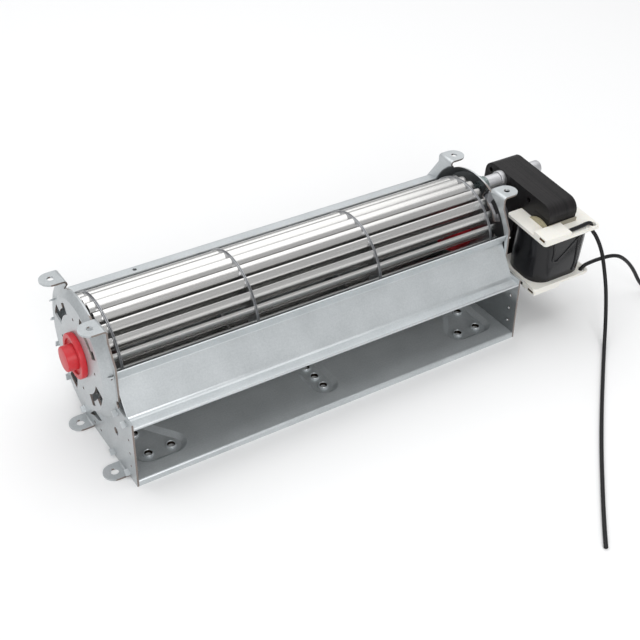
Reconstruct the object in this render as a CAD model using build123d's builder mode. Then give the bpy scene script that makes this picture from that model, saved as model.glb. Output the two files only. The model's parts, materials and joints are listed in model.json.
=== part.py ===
# Cross flow fan: a drum-shaped impeller between two pressed end plates,
# a rolled scroll sheet, a folded tongue sheet and a shaded pole motor.
# Millimetres. X runs along the impeller towards the motor, Y to the back, Z up.
# The origin is the middle of the four base holes, on the mounting surface.
import math
import os
from build123d import *

os.makedirs("parts", exist_ok=True)

# Housing
body_length = 242.0        # over the outer faces of the end plates
plate_t = 1.0              # end plate sheet
sheet_t = 0.8              # scroll and tongue sheet
axis_setback = 13.5        # impeller axis behind the middle of the base holes
axis_height = 51.8         # impeller axis above the base
front_reach = 50.8         # front edge of the housing before the axis
outlet_height = 40.3       # top of the outlet part of the end plates
floor_height = 3.5         # top of the outlet floor above the base
lip_height = 36.0          # underside of the outlet lip above the base

# End plates
dish_depth = 4.5           # pressed outwards round the axis
dish_flat_r = 30.2
dish_base_r = 35.0
neck_reach = 37.0          # front edge of the plate beside the impeller
crown_r = 33.6             # top edge between the upper tabs
scroll_back = 2.5          # centre of the scroll behind the axis
scroll_height = 43.5       # centre of the scroll above the base
scroll_r = scroll_height - floor_height     # inside of the scroll sheet
scroll_margin = 3.5        # plate edge outside the scroll sheet
relief_r = 2.4
relief_reach = 36.6
shoulder_height = 14.0     # of the front edge above the axis
tab_root = 5.0             # upper tab's straight side in front
back_tab_root = 3.0        # and at the back
shoulder_angle = 30.0      # of the back shoulder round the scroll
plate_hole_reach = 29.5
plate_hole_height = 21.0
plate_hole_r = 2.3
pin_hole_r = 0.9
pin_holes = [(0.8, 4.6), (-7.2, 4.8)]       # from the axis and above the base
window = [(6.4, 6.5), (-1.1, 14.1), (-10.1, 13.5), (-5.1, 10.0), (0.7, 9.2)]
bump_r = 1.0
bump_height = 0.5
bump_reach = 45.2
bump_heights = (9.6, 18.2, 26.9)
vent_inner_r = 21.0
vent_outer_r = 29.2
vent_neck_r = 24.8
vent_flare_r = 27.2
vent_first_angle = 17.0
vent_wide_angle = 18.0
vent_tail_angle = 28.0
vent_flare_angle = 10.0
dimple_r = 0.9
dimple_circle_r = 20.7
dimple_angle = 86.0

# Mounting tabs bent outwards from the end plates
tab_width = 12.0
tab_reach = 5.5            # hole centre from the face of the plate
bend_r = 1.0
base_tab_spacing = 44.0
base_hole_r = 2.3
top_tab_spacing = 49.0
top_tab_height = 84.0      # top face of the upper tabs
top_hole_r = 1.8

# Lock lugs of the sheets, twisted outside the end plates
lug_width = 3.6
lug_reach = 2.5
lug_slack = 0.15
lug_twist = 38.0
lug_neck_gap = 0.05        # flat part of a lug beyond the plate
shelf_lug_reaches = (33.6, 43.6)

# Tongue sheet: distances before the axis and heights above the base
hem_reach = 35.6
hem_height = 61.8
hem_fold_reach = 33.0
hem_fold_height = 55.8
crease_reach = 44.4
crease_height = 38.5
crease_r = 3.0
lip_t = 1.8                # of the folded front edge
lip_fold_r = 0.85
shelf_reach = 29.6

# Impeller
wheel_r = 30.0
wheel_length = 237.5       # over the blade tips
disc_t = 1.6
rim_groove = 0.4           # width and depth of the groove round each disc
disc_spacing = 76.2
disc_count = 4
blade_count = 24
blade_t = 0.5
blade_tip_r = 29.4
blade_root_r = 22.6
blade_bend_r = 6.6
slot_slack = 0.04
ring_inner_r = 19.5
blade_clearance = 1.0      # between the blade tips and the motor end plate

# Scroll and tongue sheets
scroll_end_angle = 14.0
back_run = 12.8            # straight part above the scroll
back_flange = 6.2
flange_hole_x = -77.0
flange_hole_r = 1.2
back_lug_run = 7.0
fold_r = 1.2
pad_depth = 2.2
pad_top_r = 8.5
pad_flank = 3.0
pad_hole_r = 2.1
pad_outer_x = 106.5        # hole rows of the outer pads
pad_inner_x = 93.5
pad_back_y = -2.0
pad_front_y = -19.5
pad_middle_y = (-1.0, -10.25, -19.5)        # holes of the middle pad
collar_r = 2.9
collar_height = 1.0

# Bearings, shafts and cushions
shaft_r = 2.5
running_gap = 0.03
press_gap = 0.02
bush_r = 5.0
bush_length = 9.0
mount_flange_r = 12.3
mount_boss_r = 6.8
mount_boss_reach = 8.0     # beyond the dished face
mount_flange_t = 3.2
mount_recess_r = 9.6
mount_recess_depth = 1.5
mount_neck_r = 9.5
mount_lip_r = 11.5
motor_hole_r = 11.0
mount_lip_t = 2.0
mount_cap_t = 2.0
mount_edge_r = 1.2
stub_tip_gap = 1.0
stub_chamfer = 0.5
hub_r = 6.5
hub_spigot_r = 5.0
hub_flange_t = 2.0
hub_length = 8.0
cushion_r = 13.0
cushion_length = 10.0
cushion_seat_r = 10.0
cushion_lip_t = 2.0
cushion_edge_r = 2.0
sleeve_r = 4.5
sleeve_proud_in = 3.0      # beyond the cushion
sleeve_proud_out = 0.5

# Motor
motor_tilt = 5.5           # degrees, the coil dips towards the front
stack_height = 61.0
stack_back = 14.7          # back edge behind the axis
stack_front = 44.2         # front edge before the axis
stack_t = 20.0
stack_gap = 20.5           # from the face of the end plate to the stack
stack_corner_r = 7.0
arm_t = 13.1
leg_width = 12.8
bore_r = 13.3
rotor_gap = 0.4
rotor_inset = 0.6          # from both faces of the stack
rivet_hole_r = 1.5
rivet_places = [(9.9, 25.6), (-24.8, 25.6), (9.9, -25.6), (-24.8, -25.6)]
pole_wall = 3.6
post_spacing = 50.8
post_r = 4.1
screw_r = 2.0
screw_slack = 0.2
screw_post_slack = 0.1
screw_nut_slack = 0.03
screw_head_r = 2.55
screw_head_t = 1.6
nut_t = 3.0
nut_width = 7.0
washer_t = 0.8
washer_r = 4.6
washer_slack = 0.15
rear_post_length = 7.5
rear_post_edge_r = 1.0
rear_post_floor = 2.0
screw_tip_gap = 1.0
bracket_t = 3.4
bracket_width = 10.0
bracket_boss_r = 8.5
bearing_hub_r = 7.5
front_hub_length = 10.5
rear_hub_length = 9.5
rear_hub_floor = 1.5
bearing_inset = 1.0
shaft_end_gap = 0.5

# Coil former, winding and terminals
former_length = 41.4       # along X
former_front = 55.0        # before the axis
former_back = 20.7
former_t = 1.8
former_gap = 0.2
former_wall = 1.2
former_corner_r = 2.0
spool_gap = 0.1
winding_half_x = 19.4
winding_half_y = 15.0
winding_corner_r = 11.0
block_length = 19.0
block_depth = 10.6
block_height = 2.6
terminal_width = 4.2
terminal_t = 1.2
terminal_slack = 0.2       # each side of the terminal in its slot
terminal_inset = 3.4       # middle of the terminal from the front edge
slot_floor = 0.4           # of the terminal slot above the flange
slot_depth = 1.5
slot_end_wall = 2.0
cheek_t = 1.6              # half-round cheek on the flange, against the stack
cheek_r = 12.0
cheek_height = 3.2
lead_hole_r = 2.1
lead_hole_side = 3.8       # from the end of the flange
lead_hole_front = 3.0      # from its front edge

# Leads
lead_r = 1.15
lead_gap = 0.05
lead_reach = 51.8          # before the axis where a lead leaves its block
lead_straight = 8.2
lead_over = 1.3            # lift over the edge of the hole
lead_through = 2.4         # below the flange, past the hole
lead_a_sway = (0.25, 0.6)  # from the middle of the hole at that point, to the right and forward
lead_b_sway = (0.25, 0.4)
coil_outer_r = 13.0
coil_turns = 2
coil_gap = 0.35
coil_offset = 2.5

half = body_length / 2
tilt = math.radians(motor_tilt)
impeller_axis = Axis((0, axis_setback, axis_height), (1, 0, 0))


def side_x(side, out):
    """X of a point that lies out beyond the outer face of an end plate."""
    return side * (half + out)


def axis_plane(x):
    """Upright plane across the impeller axis, with its origin on the axis."""
    return Plane(origin=(x, axis_setback, axis_height), x_dir=(0, 1, 0), z_dir=(1, 0, 0))


def motor_plane(x):
    """Plane of the laminations, tilted with the motor about the axis."""
    return Plane(
        origin=(x, axis_setback, axis_height),
        x_dir=(0, math.cos(tilt), math.sin(tilt)),
        z_dir=(1, 0, 0),
    )


def coil_plane(height):
    """Plane across the coil at a height over the shaft, in the motor's own tilt."""
    return Plane(
        origin=(0, axis_setback - height * math.sin(tilt), axis_height + height * math.cos(tilt)),
        x_dir=(1, 0, 0),
        z_dir=(0, -math.sin(tilt), math.cos(tilt)),
    )


def motor_point(x, forward, height):
    """World point of a place given in the motor's tilted frame."""
    y = axis_setback - forward * math.cos(tilt) - height * math.sin(tilt)
    z = axis_height - forward * math.sin(tilt) + height * math.cos(tilt)
    return (x, y, z)


# Lock lugs: places along the scroll and the tongue sheet
scroll_lug_angles = (4.0, -18.0, -45.0, -74.0)
floor_lug_reaches = (23.6, 41.6)
scroll_centre = (axis_setback + scroll_back, scroll_height)
front_y = axis_setback - front_reach
hem_edge = (axis_setback - hem_reach, hem_height)
hem_fold = (axis_setback - hem_fold_reach, hem_fold_height)
crease = (axis_setback - crease_reach, crease_height)


def scroll_point(radius, angle):
    """Point in the YZ plane at an angle round the scroll, zero at the back."""
    a = math.radians(angle)
    return (scroll_centre[0] + radius * math.cos(a), scroll_centre[1] + radius * math.sin(a))


def back_point(radius, run):
    """Point on the straight part above the scroll, a run beyond the end of its arc."""
    a = math.radians(scroll_end_angle)
    y, z = scroll_point(radius, scroll_end_angle)
    return (y - run * math.sin(a), z + run * math.cos(a))


def lug_places():
    """Middle of each lug in the YZ plane and the direction of its sheet, in degrees."""
    places = [(*back_point(scroll_r + sheet_t / 2, back_lug_run), scroll_end_angle + 90)]
    for angle in scroll_lug_angles:
        places.append((*scroll_point(scroll_r + sheet_t / 2, angle), angle + 90))
    for reach in floor_lug_reaches:
        places.append((axis_setback - reach, floor_height - sheet_t / 2, 0))
    return places


def tongue_lug_places():
    """The same for the tongue sheet: one on its top hem, two on its inner shelf."""
    slope = math.atan2(hem_edge[1] - hem_fold[1], hem_edge[0] - hem_fold[0])
    hem_y = (hem_edge[0] + hem_fold[0]) / 2 + sheet_t / 2 * math.sin(slope)
    hem_z = (hem_edge[1] + hem_fold[1]) / 2 - sheet_t / 2 * math.cos(slope)
    shelf_z = lip_height + sheet_t / 2
    return [
        (hem_y, hem_z, math.degrees(slope)),
        *[(axis_setback - reach, shelf_z, 0) for reach in shelf_lug_reaches],
    ]


def lug_section(plane, places, slack=0.0, twist=0.0):
    """Sections of the lugs of a sheet, side by side in one upright plane."""
    with BuildSketch(plane) as section:
        for y, z, angle in places:
            with Locations((y, z)):
                Rectangle(lug_width + 2 * slack, sheet_t + 2 * slack, rotation=angle + twist)
    return section.sketch


def cut_lug_slots(side, places):
    """Slots through an end plate for the lugs of a sheet."""
    slots = lug_section(Plane.YZ.offset(side_x(side, -plate_t)), places, lug_slack)
    extrude(slots, amount=side * (plate_t + lug_reach), mode=Mode.SUBTRACT)
    turned = lug_section(Plane.YZ.offset(side_x(side, 0)), places, lug_slack, lug_twist)
    extrude(turned, amount=side * lug_reach, mode=Mode.SUBTRACT)


def add_lugs(places):
    """Lugs on both ends of a sheet, twisted where they stand out of the plates."""
    for side in (-1, 1):
        neck = plate_t + lug_neck_gap
        root = Plane.YZ.offset(side_x(side, -plate_t))
        tip = Plane.YZ.offset(side_x(side, neck - plate_t))
        extrude(lug_section(root, places), amount=side * neck)
        extrude(lug_section(tip, places, twist=lug_twist), amount=side * (lug_reach - neck + plate_t))


def plate_outline(plane):
    """Outline of an end plate in the YZ plane, without its bent tabs."""
    top_z = top_tab_height - plate_t - bend_r
    front_tab = axis_setback - top_tab_spacing / 2
    back_tab = axis_setback + top_tab_spacing / 2
    inner = top_tab_spacing / 2 - tab_width / 2
    crown_z = axis_height + math.sqrt(crown_r ** 2 - inner ** 2)
    neck_y = axis_setback - neck_reach
    edge_r = scroll_r + scroll_margin
    back_corner = (back_tab + tab_width / 2, top_z - back_tab_root)
    back_join = scroll_point(edge_r, shoulder_angle)
    with BuildSketch(plane) as outline:
        with BuildLine():
            Polyline(
                (scroll_centre[0], scroll_height - edge_r),
                (front_y, scroll_height - edge_r),
                (front_y, outlet_height),
                (neck_y, outlet_height),
                (neck_y, axis_height + shoulder_height),
                (front_tab - tab_width / 2, top_z - tab_root),
                (front_tab - tab_width / 2, top_z),
                (front_tab + tab_width / 2, top_z),
                (front_tab + tab_width / 2, crown_z),
            )
            ThreePointArc(
                (front_tab + tab_width / 2, crown_z),
                (axis_setback, axis_height + crown_r),
                (back_tab - tab_width / 2, crown_z),
            )
            Polyline(
                (back_tab - tab_width / 2, crown_z),
                (back_tab - tab_width / 2, top_z),
                (back_tab + tab_width / 2, top_z),
                back_corner,
                back_join,
            )
            ThreePointArc(back_join, scroll_point(edge_r, 0), scroll_point(edge_r, -90))
        make_face()
    return outline.sketch


def sector(plane, inner_r, outer_r, start, sweep):
    """Ring sector about the origin of the plane."""
    with BuildSketch(plane) as piece:
        with BuildLine():
            outer_arc = CenterArc((0, 0), outer_r, start, sweep)
            inner_arc = CenterArc((0, 0), inner_r, start, sweep)
            Line(outer_arc @ 0, inner_arc @ 0)
            Line(outer_arc @ 1, inner_arc @ 1)
        make_face()
    return piece.sketch


def add_tab(side, y, face_z, up, hole_r):
    """Tab bent outwards, with a round end and a hole. up is 1 where the plate hangs below it."""
    flat_z = face_z - plate_t if up == 1 else face_z
    centre_z = face_z - up * (plate_t + bend_r)
    root_x = side_x(side, bend_r)
    reach = tab_reach - bend_r
    with BuildSketch(Plane.XZ.offset(-y)) as bend:
        with Locations((root_x, centre_z)):
            Circle(plate_t + bend_r)
            Circle(bend_r, mode=Mode.SUBTRACT)
        with Locations((root_x - side * tab_width / 2, centre_z + up * tab_width / 2)):
            Rectangle(tab_width, tab_width, mode=Mode.INTERSECT)
    extrude(bend.sketch, amount=tab_width / 2, both=True)
    with BuildSketch(Plane.XY.offset(flat_z)) as flat:
        with Locations((root_x + side * reach / 2, y)):
            Rectangle(reach, tab_width)
        with Locations((root_x + side * reach, y)):
            Circle(tab_width / 2)
        with Locations((root_x - side * tab_width / 2, y)):
            Rectangle(tab_width, tab_width, mode=Mode.SUBTRACT)
        with Locations((root_x + side * reach, y)):
            Circle(hole_r, mode=Mode.SUBTRACT)
    extrude(flat.sketch, amount=plate_t)


def end_plate(side, centre_hole_r, screw_places):
    """One pressed end plate. side is -1 at the bearing end and 1 at the motor end."""
    outer = side_x(side, 0)
    face = axis_plane(side_x(side, dish_depth))
    dish_plane = Plane(
        origin=(outer, axis_setback, axis_height),
        x_dir=(side, 0, 0),
        z_dir=(0, -side, 0),
    )
    with BuildPart() as plate:
        extrude(plate_outline(Plane.YZ.offset(outer)), amount=-side * plate_t)
        with BuildSketch(axis_plane(outer)):
            Circle(dish_base_r)
        extrude(amount=-side * plate_t, mode=Mode.SUBTRACT)
        with BuildSketch(dish_plane):
            with BuildLine():
                Polyline(
                    (dish_depth - plate_t, 0),
                    (dish_depth, 0),
                    (dish_depth, dish_flat_r),
                    (0, dish_base_r),
                    (-plate_t, dish_base_r),
                    (dish_depth - plate_t, dish_flat_r),
                    close=True,
                )
            make_face()
        revolve(axis=impeller_axis)
        prism = plate_outline(Plane.YZ.offset(side_x(side, -plate_t)))
        extrude(prism, amount=side * (dish_depth + plate_t), mode=Mode.INTERSECT)
        with BuildSketch(face):
            Circle(centre_hole_r)
            for place in screw_places:
                with Locations(place):
                    Circle(screw_r + screw_slack)
            with PolarLocations(dimple_circle_r, 4, start_angle=dimple_angle):
                Circle(dimple_r)
        extrude(amount=-side * plate_t, mode=Mode.SUBTRACT)
        for quarter in range(4):
            start = vent_first_angle + 90 * quarter
            wide = sector(face, vent_inner_r, vent_outer_r, start, vent_wide_angle)
            tail_start = start + vent_wide_angle
            flare_start = tail_start + vent_tail_angle - vent_flare_angle
            tail = sector(face, vent_inner_r, vent_neck_r, tail_start, vent_tail_angle)
            flare = sector(face, vent_inner_r, vent_flare_r, flare_start, vent_flare_angle)
            for opening in (wide, tail, flare):
                extrude(opening, amount=-side * plate_t, mode=Mode.SUBTRACT)
        with BuildSketch(Plane.YZ.offset(outer)):
            with Locations((axis_setback - relief_reach, outlet_height + relief_r)):
                Circle(relief_r)
            with Locations((axis_setback - plate_hole_reach, plate_hole_height)):
                Circle(plate_hole_r)
            with Locations(*[(axis_setback + y, z) for y, z in pin_holes]):
                Circle(pin_hole_r)
            with BuildLine():
                Polyline(*[(axis_setback + y, z) for y, z in window], close=True)
            make_face()
        extrude(amount=-side * plate_t, mode=Mode.SUBTRACT)
        bump_places = [(axis_setback - bump_reach, z) for z in bump_heights]
        with BuildSketch(Plane.YZ.offset(side_x(side, -plate_t))):
            with Locations(*bump_places):
                Circle(bump_r)
        extrude(amount=-side * bump_height)
        with BuildSketch(Plane.YZ.offset(outer)):
            with Locations(*bump_places):
                Circle(bump_r - plate_t / 4)
        extrude(amount=-side * bump_height, mode=Mode.SUBTRACT)
        cut_lug_slots(side, lug_places())
        cut_lug_slots(side, tongue_lug_places())
        with BuildSketch(Plane.XY):
            with Locations((outer, -base_tab_spacing / 2), (outer, base_tab_spacing / 2)):
                Rectangle(4 * plate_t, tab_width)
        extrude(amount=plate_t + bend_r, mode=Mode.SUBTRACT)
        for y in (-base_tab_spacing / 2, base_tab_spacing / 2):
            add_tab(side, y, 0, -1, base_hole_r)
        for y in (-top_tab_spacing / 2, top_tab_spacing / 2):
            add_tab(side, axis_setback + y, top_tab_height, 1, top_hole_r)
    return plate.part


screw_reach = post_spacing / 2
screw_places = [
    (-screw_reach * math.sin(tilt), screw_reach * math.cos(tilt)),
    (screw_reach * math.sin(tilt), -screw_reach * math.cos(tilt)),
]
bearing_plate = end_plate(-1, mount_neck_r, [])
bearing_plate.label = "bearing_end_plate"
export_step(bearing_plate, "parts/bearing_end_plate.step")
motor_plate = end_plate(1, motor_hole_r, screw_places)
motor_plate.label = "motor_end_plate"
export_step(motor_plate, "parts/motor_end_plate.step")


# The scroll sheet: front hem, outlet floor with three pressed pads, scroll and back flange.
# Each pad is given by the places of its holes.
pads = [
    [(-pad_outer_x, pad_back_y), (-pad_outer_x, pad_front_y), (-pad_inner_x, pad_front_y)],
    [(0, y) for y in pad_middle_y],
    [(pad_outer_x, pad_back_y), (pad_outer_x, pad_front_y), (pad_inner_x, pad_front_y)],
]


def pad_form(holes, top_z):
    """Tapered form of one pad below a height, wide at the top."""
    levels = []
    for z, radius in ((top_z, pad_top_r), (top_z - pad_depth, pad_top_r - pad_flank)):
        with BuildSketch(Plane.XY.offset(z)) as level:
            with Locations(*holes):
                rounds = Circle(radius, mode=Mode.PRIVATE)
            make_hull(rounds.edges())
        levels.append(level.sketch.face())
    return loft(levels, mode=Mode.PRIVATE)


with BuildPart() as scroll_sheet:
    with BuildSketch(Plane.YZ.offset(side_x(-1, -plate_t))):
        with BuildLine() as scroll_line:
            FilletPolyline(
                (front_y, 0),
                (front_y, floor_height),
                (scroll_centre[0], floor_height),
                radius=fold_r,
            )
            CenterArc(scroll_centre, scroll_r, -90, 90 + scroll_end_angle)
            back_top = back_point(scroll_r, back_run)
            FilletPolyline(
                back_point(scroll_r, 0),
                back_top,
                (back_top[0] - back_flange, back_top[1]),
                radius=fold_r,
            )
            offset(amount=sheet_t, side=Side.RIGHT)
        make_face()
    extrude(amount=body_length - 2 * plate_t)
    add_lugs(lug_places())
    with BuildSketch(Plane.XY.offset(back_top[1] - sheet_t)):
        with Locations((flange_hole_x, back_top[0] - back_flange / 2)):
            Circle(flange_hole_r)
    extrude(amount=3 * sheet_t, mode=Mode.SUBTRACT)
    for holes in pads:
        add(pad_form(holes, floor_height - sheet_t))
        add(pad_form(holes, floor_height), mode=Mode.SUBTRACT)
        with BuildSketch(Plane.XY.offset(floor_height - pad_depth)):
            with Locations(*holes):
                Circle(collar_r)
        extrude(amount=collar_height)
        with BuildSketch(Plane.XY):
            with Locations(*holes):
                Circle(pad_hole_r)
        extrude(amount=floor_height, mode=Mode.SUBTRACT)
scroll_sheet.part.label = "scroll_sheet"
export_step(scroll_sheet.part, "parts/scroll_sheet.step")

# The tongue sheet: top hem, sloping face, folded lip and a shelf that runs in under the impeller.
with BuildPart() as tongue_sheet:
    with BuildSketch(Plane.YZ.offset(side_x(-1, -plate_t))):
        with BuildLine():
            FilletPolyline(
                hem_edge,
                hem_fold,
                crease,
                (front_y, lip_height + lip_t),
                (front_y, lip_height),
                (axis_setback - shelf_reach, lip_height),
                radius=[fold_r, crease_r, lip_fold_r, lip_fold_r],
            )
            offset(amount=sheet_t, side=Side.LEFT)
        make_face()
    extrude(amount=body_length - 2 * plate_t)
    add_lugs(tongue_lug_places())
tongue_sheet.part.label = "tongue_sheet"
export_step(tongue_sheet.part, "parts/tongue_sheet.step")

# The impeller: forward curved blades through slotted discs.
wheel_end = half - plate_t - blade_clearance
wheel_start = wheel_end - wheel_length
wheel_middle = (wheel_start + wheel_end) / 2
disc_places = [wheel_middle + (k - (disc_count - 1) / 2) * disc_spacing for k in range(disc_count)]
blade_reach = (blade_tip_r ** 2 - blade_root_r ** 2 - 2 * blade_bend_r ** 2) / (2 * blade_bend_r)
blade_centre_r = math.hypot(blade_root_r, blade_bend_r)
blade_lean = math.atan2(blade_bend_r, blade_root_r)
blade_tip_angle = math.degrees(math.acos(blade_reach / blade_centre_r) - blade_lean)


def blade_ring(thickness, end_slack):
    """Arc sections of all the blades about the origin, their tips leading clockwise."""
    outer = blade_bend_r + thickness / 2
    inner = blade_bend_r - thickness / 2
    slack_angle = math.degrees(end_slack / blade_bend_r)
    start = blade_tip_angle - slack_angle
    sweep = 90 + slack_angle - start
    pieces = []
    for k in range(blade_count):
        turn = 360 / blade_count * k
        a = math.radians(turn)
        centre_x = blade_root_r * math.cos(a) + blade_bend_r * math.sin(a)
        centre_y = blade_root_r * math.sin(a) - blade_bend_r * math.cos(a)
        plane = Plane(origin=(centre_x, centre_y, 0), x_dir=(math.cos(a), math.sin(a), 0), z_dir=(0, 0, 1))
        pieces.append(sector(plane, inner, outer, start, sweep))
    return pieces


with BuildPart() as impeller_blades:
    place = axis_plane(wheel_start).location
    extrude([piece.face().moved(place) for piece in blade_ring(blade_t, 0)], amount=wheel_length)
impeller_blades.part.label = "impeller_blades"
export_step(impeller_blades.part, "parts/impeller_blades.step")

slot_faces = [piece.face() for piece in blade_ring(blade_t + 2 * slot_slack, slot_slack)]
disc_names = ["end_disc_bearing", "ring_disc_1", "ring_disc_2", "end_disc_motor"]
disc_bores = [hub_spigot_r, ring_inner_r, ring_inner_r, cushion_seat_r]
for name, x, bore in zip(disc_names, disc_places, disc_bores):
    with BuildPart() as disc:
        with BuildSketch(axis_plane(x - disc_t / 2)):
            Circle(wheel_r)
            Circle(bore, mode=Mode.SUBTRACT)
        extrude(amount=disc_t)
        place = axis_plane(x - disc_t / 2).location
        extrude([face.moved(place) for face in slot_faces], amount=disc_t, mode=Mode.SUBTRACT)
        with BuildSketch(axis_plane(x - rim_groove / 2)):
            Circle(wheel_r)
            Circle(wheel_r - rim_groove, mode=Mode.SUBTRACT)
        extrude(amount=rim_groove, mode=Mode.SUBTRACT)
    disc.part.label = name
    export_step(disc.part, f"parts/{name}.step")


def ring_section(x0, x1, inner_r, outer_r):
    """Half section of a round piece about the impeller axis, for a revolve."""
    with BuildSketch(Plane.XY.offset(axis_height)) as section:
        with Locations(((x0 + x1) / 2, axis_setback + (inner_r + outer_r) / 2)):
            Rectangle(abs(x1 - x0), outer_r - inner_r)
    return section.sketch


bearing_disc_x = disc_places[0]
motor_disc_x = disc_places[-1]
mount_face = side_x(-1, dish_depth)

# Hub riveted in the disc at the bearing end, with the stub shaft pressed into it.
with BuildPart() as bearing_hub:
    spigot = (bearing_disc_x - disc_t / 2, bearing_disc_x + hub_length)
    flange = (bearing_disc_x + disc_t / 2, bearing_disc_x + disc_t / 2 + hub_flange_t)
    revolve(ring_section(*spigot, shaft_r + press_gap, hub_spigot_r - press_gap), axis=impeller_axis)
    revolve(ring_section(*flange, shaft_r + press_gap, hub_r), axis=impeller_axis)
bearing_hub.part.label = "bearing_hub"
export_step(bearing_hub.part, "parts/bearing_hub.step")

shaft_tip = side_x(-1, dish_depth + mount_boss_reach - mount_cap_t - stub_tip_gap)
with BuildPart() as stub_shaft:
    revolve(ring_section(shaft_tip, bearing_disc_x + hub_length, 0, shaft_r), axis=impeller_axis)
    chamfer(stub_shaft.edges().filter_by(GeomType.CIRCLE).sort_by(Axis.X)[0], stub_chamfer)
stub_shaft.part.label = "stub_shaft"
export_step(stub_shaft.part, "parts/stub_shaft.step")

# Silicone mount that grips the bearing end plate and holds the bearing bush.
cap_x = side_x(-1, dish_depth + mount_boss_reach)
lip_x = side_x(-1, dish_depth - plate_t - mount_lip_t)
with BuildPart() as bearing_mount:
    revolve(ring_section(mount_face - mount_flange_t, mount_face, 0, mount_flange_r), axis=impeller_axis)
    recess_end = mount_face - mount_flange_t + mount_recess_depth
    recess = ring_section(mount_face - mount_flange_t, recess_end, mount_boss_r, mount_recess_r)
    revolve(recess, axis=impeller_axis, mode=Mode.SUBTRACT)
    revolve(ring_section(cap_x, mount_face, 0, mount_boss_r), axis=impeller_axis)
    revolve(ring_section(mount_face, mount_face + plate_t, 0, mount_neck_r - press_gap), axis=impeller_axis)
    revolve(ring_section(mount_face + plate_t, lip_x, 0, mount_lip_r), axis=impeller_axis)
    rim = bearing_mount.edges().filter_by(GeomType.CIRCLE).sort_by(Axis.X)[0]
    fillet(rim, mount_edge_r)
    bush_seat = ring_section(cap_x + mount_cap_t, lip_x, 0, bush_r + press_gap)
    revolve(bush_seat, axis=impeller_axis, mode=Mode.SUBTRACT)
bearing_mount.part.label = "bearing_mount"
export_step(bearing_mount.part, "parts/bearing_mount.step")

with BuildPart() as bearing_bush:
    revolve(ring_section(lip_x - bush_length, lip_x, shaft_r + running_gap, bush_r), axis=impeller_axis)
bearing_bush.part.label = "bearing_bush"
export_step(bearing_bush.part, "parts/bearing_bush.step")

# Silicone cushion in the disc at the motor end, round a steel sleeve on the motor shaft.
disc_in = motor_disc_x - disc_t / 2
disc_out = motor_disc_x + disc_t / 2
with BuildPart() as hub_cushion:
    bore = sleeve_r + press_gap
    revolve(ring_section(disc_in - cushion_length, disc_in, bore, cushion_r), axis=impeller_axis)
    revolve(ring_section(disc_in, disc_out, bore, cushion_seat_r - press_gap), axis=impeller_axis)
    revolve(ring_section(disc_out, disc_out + cushion_lip_t, bore, cushion_r), axis=impeller_axis)
    inner_rim = hub_cushion.edges().filter_by(GeomType.CIRCLE).sort_by(Axis.X)[0:2].sort_by(SortBy.RADIUS)[-1]
    fillet(inner_rim, cushion_edge_r)
hub_cushion.part.label = "hub_cushion"
export_step(hub_cushion.part, "parts/hub_cushion.step")

with BuildPart() as hub_sleeve:
    sleeve_start = disc_in - cushion_length - sleeve_proud_in
    sleeve_end = disc_out + cushion_lip_t + sleeve_proud_out
    revolve(ring_section(sleeve_start, sleeve_end, shaft_r + press_gap, sleeve_r), axis=impeller_axis)
hub_sleeve.part.label = "hub_sleeve"
export_step(hub_sleeve.part, "parts/hub_sleeve.step")

# The motor. Its pieces share the plane of the laminations, tilted about the impeller axis.
stack_start = side_x(1, stack_gap)
stack_end = stack_start + stack_t
stack_middle = (stack_start + stack_end) / 2
half_stack = stack_height / 2
window_half = half_stack - arm_t
pole_reach = bore_r + pole_wall
rotor_r = bore_r - rotor_gap
rear_hub_end = stack_end + rear_hub_length


def post_places():
    """Both posts, in the plane of the laminations."""
    return [(0, post_spacing / 2), (0, -post_spacing / 2)]


with BuildPart() as stator_core:
    with BuildSketch(motor_plane(stack_start)):
        with Locations(((stack_back - stack_front) / 2, 0)):
            RectangleRounded(stack_back + stack_front, stack_height, stack_corner_r)
        with Locations((-(stack_front + 1 + pole_reach) / 2, 0)):
            Rectangle(stack_front + 1 - pole_reach, 2 * window_half, mode=Mode.SUBTRACT)
        Circle(bore_r, mode=Mode.SUBTRACT)
        with Locations(*post_places()):
            Circle(screw_r + screw_slack, mode=Mode.SUBTRACT)
        with Locations(*rivet_places):
            Circle(rivet_hole_r, mode=Mode.SUBTRACT)
    extrude(amount=stack_t)
stator_core.part.label = "stator_core"
export_step(stator_core.part, "parts/stator_core.step")

with BuildPart() as coil_leg:
    with BuildSketch(motor_plane(stack_start)):
        with Locations((-stack_front + leg_width / 2, 0)):
            Rectangle(leg_width, 2 * window_half)
    extrude(amount=stack_t)
coil_leg.part.label = "coil_leg"
export_step(coil_leg.part, "parts/coil_leg.step")

with BuildPart() as motor_rotor:
    rotor = (stack_start + rotor_inset, stack_end - rotor_inset)
    revolve(ring_section(*rotor, shaft_r + press_gap, rotor_r), axis=impeller_axis)
motor_rotor.part.label = "motor_rotor"
export_step(motor_rotor.part, "parts/motor_rotor.step")

with BuildPart() as motor_shaft:
    shaft_end = rear_hub_end - rear_hub_floor - shaft_end_gap
    revolve(ring_section(disc_in - cushion_length, shaft_end, 0, shaft_r), axis=impeller_axis)
motor_shaft.part.label = "motor_shaft"
export_step(motor_shaft.part, "parts/motor_shaft.step")

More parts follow.
